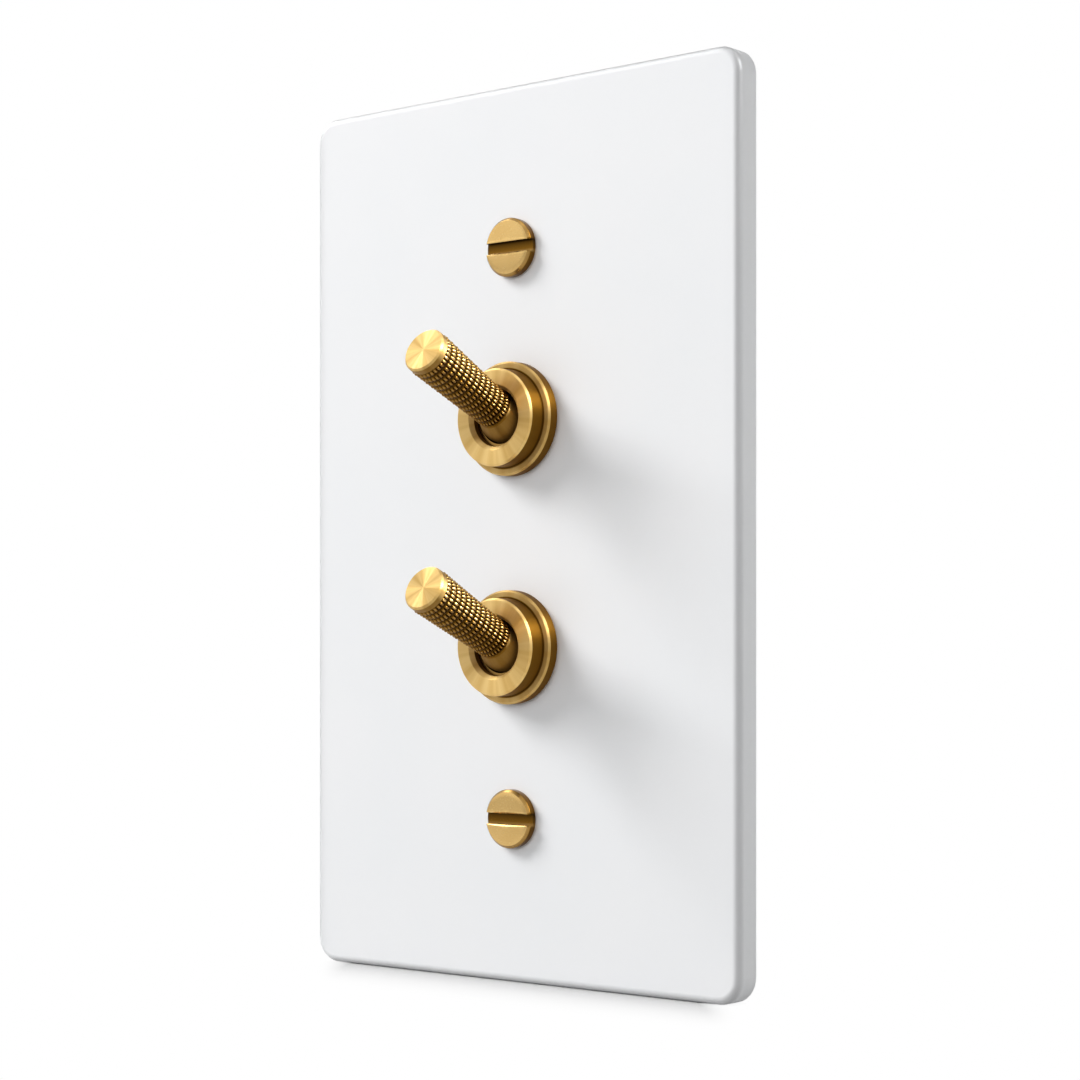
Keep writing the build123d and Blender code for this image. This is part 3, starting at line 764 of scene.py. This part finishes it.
# Bushings: a threaded barrel with a flange behind, a seat for the ball and slots for the pivot pin
def bushing_piece(side):
    flange_front = bushing_back + bushing_flange_height
    thread_start = flange_front + bushing_thread_relief
    thread_end = bushing_nose - bushing_nose_bevel
    rim = rounded_profile([(bushing_back, bushing_flare_end, foot_round),
                           (bushing_back, bushing_flange_radius, rim_round),
                           (flange_front, bushing_flange_radius, rim_round),
                           (flange_front, bushing_thread_radius, crisp_round),
                           (thread_start, bushing_thread_radius, 0)])
    nose = rounded_profile([(thread_end, bushing_thread_radius, 0),
                            (bushing_nose, bushing_thread_radius - bushing_nose_bevel, crisp_round),
                            (bushing_nose, bushing_seat_radius, crisp_round),
                            (lever_pivot, bushing_seat_radius, 0)])
    for step in range(1, bushing_seat_steps + 1):
        turn = radians(step * bushing_seat_sweep / bushing_seat_steps)
        nose.append(Vector((lever_pivot - bushing_seat_radius * sin(turn), bushing_seat_radius * cos(turn))))
    flare_reach = lever_pivot - bushing_back - foot_round
    nose.append(Vector((bushing_back + foot_round, bushing_flare_start + tan(lever_angle) * flare_reach)))
    rim[0] = nose[-1].copy()
    blank = turned_mesh(f"{side}_bushing_blank", [rim, nose], bushing_facets, False)
    slot_mouth = lever_pivot + pin_slot_mouth
    outline = [(-pin_slot_half, slot_mouth), (pin_slot_half, slot_mouth)]
    for step in range(pin_slot_steps + 1):
        turn = pi * step / pin_slot_steps
        outline.append((pin_slot_half * cos(turn), lever_pivot - pin_slot_half * sin(turn)))
    cutter = bar("pin_slot", outline, pin_slot_reach)
    mesh = made(f"{side}_threaded_bushing", blank,
                thread(thread_start, thread_end, bushing_thread_radius, bushing_facets, bushing_thread_rows,
                       finishes["brass"]),
                cut_by(cutter), even_shading)
    bpy.data.objects.remove(cutter)
    # Brown all over: patina, and painted shade where the nose sits in the collar's mouth
    lay_patina_and_shade(mesh, lambda point, facing: bushing_patina_and_shade)
    mesh.transform(into_room(toggle_heights[side]))
    new_piece(f"{side}_threaded_bushing", mesh, "base", "brass", f"{side}_bushing")


# Slotted screws: a turned head and shank, a rolled thread, and a slot milled across the head
def slotted_screws(name, head, shank, slot, row, finish):
    head_radius, head_height, head_bevel, head_crown = head
    shank_radius, shank_length, thread_start, thread_rows = shank
    slot_width, slot_depth = slot
    thread_end = shank_length - screw_point_length
    top = [Vector((-thread_start, shank_radius))]
    top += rounded_profile([(0, shank_radius, soft_round), (0, head_radius, crisp_round),
                            (head_height - head_bevel - head_crown, head_radius, rim_round),
                            (head_height - head_crown, head_radius - head_bevel, soft_round),
                            (head_height, 0, 0)])
    for share in crown_rings:
        top.insert(-1, Vector((head_height - head_crown * share ** 2, head_radius * share)))
    end = [Vector((-shank_length, 0)), Vector((-shank_length, shank_radius - screw_point_taper)),
           Vector((-thread_end, shank_radius))]
    blank = turned_mesh(f"{name}_blank", [end, top], screw_facets, False)
    half = slot_width / 2
    slot_floor = head_height - slot_depth
    flare = head_height - slot_crown_share * head_crown - slot_edge
    cutter = bar("slot", [(-half, slot_floor), (half, slot_floor), (half, flare),
                          (half + slot_flare, flare + slot_flare), (-half - slot_flare, flare + slot_flare),
                          (-half, flare)], 2 * head_radius)
    mesh = made(name, blank,
                thread(-thread_end, -thread_start, shank_radius, screw_facets, thread_rows, finish),
                cut_by(cutter), ("NODES", {"tree": screw_row, "Finish": finish, **row}))
    bpy.data.objects.remove(cutter)
    mesh.set_sharp_from_angle(angle=screw_crease)
    return mesh


def plate_screws_piece():
    mesh = slotted_screws("slotted_plate_screws",
                          (screw_head_radius, screw_head_height, screw_head_bevel, screw_head_crown),
                          (screw_radius, screw_length, plate_front + screw_thread_start, screw_thread_rows),
                          (screw_slot_width, screw_slot_depth),
                          {"Count": 2, "First": Vector((0, -plate_front, screw_place)) * MM,
                           "Step": Vector((0, 0, -2 * screw_place)) * MM, "Turn": (pi / 2, 0.0, 0.0)},
                          finishes["brass"])

    def depth_at(point, facing):
        # Bare on the face; brown round the rim, partly patina and partly painted shade; a painted shadow in
        # the slot, darkest under its upper wall; bright on the shank
        if -point.y < plate_front - soft_round:
            return shank_patina
        off_slot = (abs(point.z) - screw_place) * (1 if point.z > 0 else -1) / (screw_slot_width / 2)
        sunk = -point.y < plate_front + screw_head_height - screw_slot_depth / 2
        if sunk and abs(off_slot) < 1.1:
            return slot_painted_shade + 0.3 * off_slot
        if abs(off_slot) < 1.3 and abs(facing.x) < 0.4:
            return 0.0
        return face_patina + rim_patina_and_shade * blend(-facing.y, 0.97, 0.55)

    lay_patina_and_shade(mesh, depth_at)
    new_piece("slotted_plate_screws", mesh, "base", "brass", "plate_screws")


def terminal_screws_piece(side):
    lowest = toggle_heights[side] - lug_spacing + lug_half_thickness
    mesh = slotted_screws(f"{side}_slotted_terminal_screws",
                          (lug_screw_head_radius, lug_screw_head_height, lug_screw_head_bevel, 0.0),
                          (lug_screw_radius, lug_screw_length, 2 * lug_half_thickness, lug_screw_thread_rows),
                          (lug_screw_slot_width, lug_screw_slot_depth),
                          {"Count": 3, "First": Vector((0, lug_screw_place, lowest)) * MM,
                           "Step": Vector((0, 0, lug_spacing)) * MM, "Turn": (0.0, 0.0, 0.0)},
                          finishes["zinc_steel"])
    new_piece(f"{side}_slotted_terminal_screws", mesh, "base", "zinc_steel", f"{side}_terminal_screws")


# Stamped and moulded pieces keep their CAD shape, with every edge broken as a press or mould leaves it.
# Where two broken edges run into each other, points nearer than this share of the width become one.
sliver_share = 0.17


def softened_piece(node, width):
    body = bmesh.new()
    body.from_mesh(frame["nodes"][node].data)
    bmesh.ops.remove_doubles(body, verts=body.verts, dist=same_point * MM)
    bmesh.ops.dissolve_limit(body, angle_limit=flat_angle, verts=body.verts, edges=body.edges)
    plain = mesh_from(f"{node}_plain", body)
    plain.materials.append(finishes[slot_of[node]])
    broken = made(f"{node}_broken", plain, broken_edges(width))
    body = bmesh.new()
    body.from_mesh(broken)
    bmesh.ops.remove_doubles(body, verts=body.verts, dist=sliver_share * width * MM)
    bmesh.ops.triangulate(body, faces=[face for face in body.faces if len(face.verts) > 4])
    body.to_mesh(broken)
    body.free()
    mesh = made(f"{node}_softened", broken, even_shading)
    new_piece(f"{node}_softened", mesh, "base", slot_of[node], node)


for side in SIDES:
    lever_piece(side)
    spring_piece(side)
    collar_piece(side)
    bushing_piece(side)
    terminal_screws_piece(side)
    softened_piece(f"{side}_frame", stamped_edge)
    softened_piece(f"{side}_switch_body", moulded_edge)
    for terminal in ("common", "upper", "lower"):
        softened_piece(f"{side}_{terminal}_terminal", terminal_edge)
plate_screws_piece()
softened_piece("mounting_strap", stamped_edge)


# The stage, where lamps and cards are measured in metres
def stage_sheet(name, points, faces):
    mesh = bpy.data.meshes.new(name)
    mesh.from_pydata(points, [], faces)
    sheet = placed(name, mesh)
    return sheet


def seen_directly(tree):
    # 1 for a ray from the camera or one that a mirror or glass sends on, and 0 for light on its way
    path = add(tree, "ShaderNodeLightPath").outputs
    seen = path["Is Camera Ray"]
    for ray in ("Is Glossy Ray", "Is Transmission Ray"):
        seen = add(tree, "ShaderNodeMath", {0: seen, 1: path[ray]}, operation="MAXIMUM").outputs[0]
    return seen


# Floor, a pale sheet under the plate that shows white, with a grey sheet near the plate that is a painted
# contact shadow and also catches the switch's real shadow. The painted shadow shows in full along the plate's
# front edge and is gone at its reach;
# it leans to the right and is short beside and behind.
floor_half = 6.0
floor_level = plate_low.z * MM
shadow_reach = 17
shadow_fade = 2.6
shadow_lean = 0.82
shadow_inset = 6
shadow_side_fall = 3.0
shadow_back_fall = 9.0
floor = stage_sheet("floor", [(x, y, floor_level) for x, y in (
    (-floor_half, -floor_half), (floor_half, -floor_half), (floor_half, floor_half),
    (-floor_half, floor_half))], [(0, 1, 2, 3)])
paper = bpy.data.materials.new("white_paper_sweep")
paper.use_nodes = True
paper_tree = paper.node_tree
paper_tree.nodes.clear()
sheet = add(paper_tree, "ShaderNodeBsdfDiffuse", {"Color": linear("#C2C2C2")})
dim_sheet = add(paper_tree, "ShaderNodeBsdfDiffuse", {"Color": linear("#868686")})
glow = add(paper_tree, "ShaderNodeEmission", {"Color": linear("#FFFFFF"), "Strength": 1.0})
floor_place = add(paper_tree, "ShaderNodeTexCoord").outputs["Object"]
spot = add(paper_tree, "ShaderNodeSeparateXYZ", {0: floor_place}).outputs
values = {"x": spot["X"], "y": spot["Y"]}
for result, operation, *terms in (
        ("before", "MULTIPLY_ADD", "y", -1.0, -plate_front * MM),
        ("ahead", "MAXIMUM", "before", 0.0),
        ("leaning", "MULTIPLY_ADD", "ahead", -shadow_lean, "x"),
        ("off middle", "ABSOLUTE", "leaning"),
        ("past side", "MULTIPLY_ADD", "off middle", shadow_side_fall,
         -shadow_side_fall * (plate_high.x - shadow_inset) * MM),
        ("beside", "MAXIMUM", "past side", 0.0),
        ("behind", "MULTIPLY", "y", shadow_back_fall),
        ("before or behind", "MAXIMUM", "before", "behind"),
        ("off edge", "MAXIMUM", "before or behind", 0.0)):
    inputs = {index: values.get(term, term) for index, term in enumerate(terms)}
    values[result] = add(paper_tree, "ShaderNodeMath", inputs, operation=operation).outputs[0]
away = add(paper_tree, "ShaderNodeCombineXYZ", {"X": values["beside"], "Y": values["off edge"]}).outputs[0]
away = add(paper_tree, "ShaderNodeVectorMath", {0: away}, operation="LENGTH").outputs["Value"]
# Share of painted shadow: full at the plate's edge, none at its reach
close = add(paper_tree, "ShaderNodeMapRange", {"Value": away, "From Max": shadow_reach * MM, "To Min": 1.0,
                                               "To Max": 0.0})
painted_shadow_share = add(paper_tree, "ShaderNodeMath", {0: close.outputs[0], 1: shadow_fade}, operation="POWER").outputs[0]
shown = add(paper_tree, "ShaderNodeMixShader", {"Fac": painted_shadow_share, 1: glow.outputs[0], 2: sheet.outputs[0]})
mixed = add(paper_tree, "ShaderNodeMixShader", {"Fac": seen_directly(paper_tree), 1: dim_sheet.outputs[0],
                                                2: shown.outputs[0]})
add(paper_tree, "ShaderNodeOutputMaterial", {"Surface": mixed.outputs[0]})
floor.data.materials.append(paper)

# World: white where it is seen, a plain soft fill where it lights the switch
room_fill = 0.12
world = bpy.data.worlds.new("studio")
bpy.context.scene.world = world
world.use_nodes = True
world_tree = world.node_tree
world_tree.nodes.clear()
strength = add(world_tree, "ShaderNodeMapRange", {"Value": seen_directly(world_tree), "To Min": room_fill,
                                                  "To Max": 1.0})
backdrop = add(world_tree, "ShaderNodeBackground", {"Color": linear("#FFFFFF"),
                                                    "Strength": strength.outputs[0]})
add(world_tree, "ShaderNodeOutputWorld", {"Surface": backdrop.outputs[0]})


def soft_box(name, towards, distance, size, power, shows_in_metal):
    # A lamp either lights surfaces and casts shadows, or shows as a bright panel in metal and gloss
    lamp = bpy.data.lights.new(name, "AREA")
    lamp.shape = "RECTANGLE"
    lamp.size, lamp.size_y = size
    lamp.energy = power
    lamp_object = placed(name, lamp)
    direction = Vector(towards).normalized()
    lamp_object.location = direction * distance
    lamp_object.rotation_euler = direction.to_track_quat("Z", "Y").to_euler()
    lamp_object.visible_camera = False
    lamp_object.visible_diffuse = not shows_in_metal
    lamp_object.visible_glossy = shows_in_metal


# Lamps: a soft key from the upper left for the shadows, a broad front fill, and two weak lamps behind, on the
# right for the plate's edge and on the left for its back. A white sheet that faces a lamp shows at its level.
for name, towards, distance, size, level in (
        ("key_soft_box", (-0.68, -0.42, 0.60), 1.9, 0.79, 0.88),
        ("front_soft_box", (-0.17, -0.965, 0.17), 1.5, 1.0, 0.36),
        ("side_soft_box", (0.75, 0.65, 0.10), 1.0, 0.5, 0.44),
        ("back_soft_box", (-0.45, 0.85, 0.35), 1.0, 0.6, 0.32)):
    soft_box(name, towards, distance, (size, size), level * 4 * pi * distance ** 2, False)

# Panels that show as reflections alone: one overhead, and one each for the grips, the lever caps and the edges
for name, towards, size, brightness in (
        ("overhead_panel", (0.12, 0.1, 1.0), (0.9, 0.7), 1.0),
        ("grip_panel", (0.80, -0.02, 0.60), (0.5, 0.5), 17),
        ("cap_panel", (-0.646, -0.125, 0.753), (0.3, 0.3), 4),
        ("edge_panel", (-0.66, 0.13, 0.72), (0.35, 0.35), 4)):
    soft_box(name, towards, 1.0, size, brightness * 4 * size[0] * size[1], True)

# Flags along the left and top edges, which take the key off there so that the plate stands out from the white
flag_gap = 0.7
flag_side = (plate_low.x - flag_gap) * MM
flag_top = (plate_high.z + flag_gap) * MM
flag_back = 1 * MM
side_flag_front = -4.4 * MM
top_flag_front = -4.1 * MM
flags = stage_sheet("edge_flags", [
    (flag_side, flag_back, floor_level), (flag_side, flag_back, flag_top),
    (flag_side, side_flag_front, flag_top), (flag_side, side_flag_front, floor_level),
    (flag_side, top_flag_front, flag_top), (-flag_side, top_flag_front, flag_top),
    (-flag_side, flag_back, flag_top)], [(0, 1, 2, 3), (1, 4, 5, 6)])
flags.visible_camera = False
flags.visible_diffuse = False
flags.visible_glossy = False
flags.visible_transmission = False

# Cards that show as reflections alone: lit paper round the room and on the floor, brighter higher up, with one
# dark stripe just left of straight ahead. A turn is measured from behind the plate; 180 degrees is in front.
stripe_start = radians(-180 + 8)
stripe_end = radians(-180 + 26)
stripe_dark = 0.06
card_low, card_low_share = 0.05, 0.55
card_high, card_high_share = 0.4, 1.25


def card(name, points, faces, bright):
    lit_paper = bpy.data.materials.new(f"{name}_lit_paper")
    lit_paper.use_nodes = True
    tree = lit_paper.node_tree
    tree.nodes.clear()
    place = add(tree, "ShaderNodeTexCoord").outputs["Object"]
    spot = add(tree, "ShaderNodeSeparateXYZ", {0: place}).outputs
    turn = add(tree, "ShaderNodeMath", {0: spot["X"], 1: spot["Y"]}, operation="ARCTAN2").outputs[0]
    shade = add(tree, "ShaderNodeMapRange", {"Value": turn, "From Min": stripe_start, "From Max": stripe_end,
                                             "To Min": stripe_dark, "To Max": bright},
                interpolation_type="SMOOTHSTEP")
    rise = add(tree, "ShaderNodeMapRange", {"Value": spot["Z"], "From Min": card_low, "From Max": card_high,
                                            "To Min": card_low_share, "To Max": card_high_share},
               interpolation_type="SMOOTHSTEP")
    shown = add(tree, "ShaderNodeMath", {0: shade.outputs[0], 1: rise.outputs[0]}, operation="MULTIPLY")
    lit = add(tree, "ShaderNodeEmission", {"Color": linear("#FFFFFF"), "Strength": shown.outputs[0]})
    add(tree, "ShaderNodeOutputMaterial", {"Surface": lit.outputs[0]})
    piece = stage_sheet(name, points, faces)
    piece.data.materials.append(lit_paper)
    piece.visible_camera = False
    piece.visible_diffuse = False
    piece.visible_transmission = False
    piece.visible_shadow = False


room_radius = 2.7
room_top = 1.75
room_start, room_step, room_posts = -100, 5, 38
room_turns = [radians(room_start + post * room_step) for post in range(room_posts)]
room_line = [(-room_radius * sin(turn), -room_radius * cos(turn)) for turn in room_turns]
card("room_card", [(x, y, z) for z in (floor_level, room_top) for x, y in room_line],
     [(post, post + 1, room_posts + post + 1, room_posts + post) for post in range(room_posts - 1)], 0.95)
card_lift = 0.5
card_level = floor_level + card_lift * MM
for name, left, right, near_edge, far_edge, bright in (
        ("floor_card", -0.3, 0.9, -0.1, -0.35, 1.6),
        ("back_floor_card", -0.5, 0.6, 0.04, 0.6, 1.9)):
    card(name, [(left, near_edge, card_level), (right, near_edge, card_level), (right, far_edge, card_level),
                (left, far_edge, card_level)], [(0, 1, 2, 3)], bright)

# Camera: level, a little below the middle of the plate and to its right, with the frame raised by its shift
camera_turn = radians(39.384)
camera_place = Vector((198.78, -240.23, -14.49)) * MM
camera = bpy.data.cameras.new("camera")
camera.sensor_width = 36.0
camera.lens = 80.95
camera.shift_y = 0.0993
camera.clip_start = 0.01
camera_object = placed("camera", camera)
camera_object.location = camera_place
camera_object.rotation_euler = (pi / 2, 0.0, camera_turn)
bpy.context.scene.camera = camera_object
bpy.context.scene.view_settings.view_transform = "Standard"
